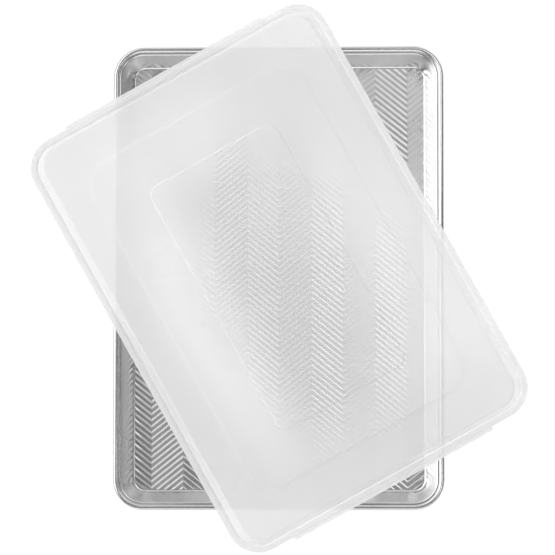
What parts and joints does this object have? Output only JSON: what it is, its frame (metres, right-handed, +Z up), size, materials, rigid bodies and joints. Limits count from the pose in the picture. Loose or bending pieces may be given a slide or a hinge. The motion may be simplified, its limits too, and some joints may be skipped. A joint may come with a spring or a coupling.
{
  "type": "sheet pan with lid",
  "caption": "Textured half sheet pan with zigzag ridged floor, sloping walls and wire-stiffened rolled rim, with a translucent domed lid lying turned across it.",
  "frame": {"origin": "centre of the pan's underside", "axes": "+Z up out of the pan's mouth, +Y along the pan's long side, +X along its short side; the lid lies turned 29.2 degrees about +Z"},
  "size_m": [0.4888, 0.5394, 0.0564],
  "materials": {
    "pan_sheet": "mill finish, satin floor, brighter walls",
    "rim_wire": "galvanised wire",
    "lid_plastic": "milky translucent polypropylene, satin"
  },
  "bodies": {
    "pan": {"pan_shell": "pan_sheet", "rim_wire": "rim_wire"},
    "lid": {"lid": "lid_plastic"}
  },
  "joints": [
    {"name": "lid_lift", "type": "slide", "parent": "pan", "child": "lid", "axis": [0, 0, 1], "range_m": [0, 0.2]}
  ]
}
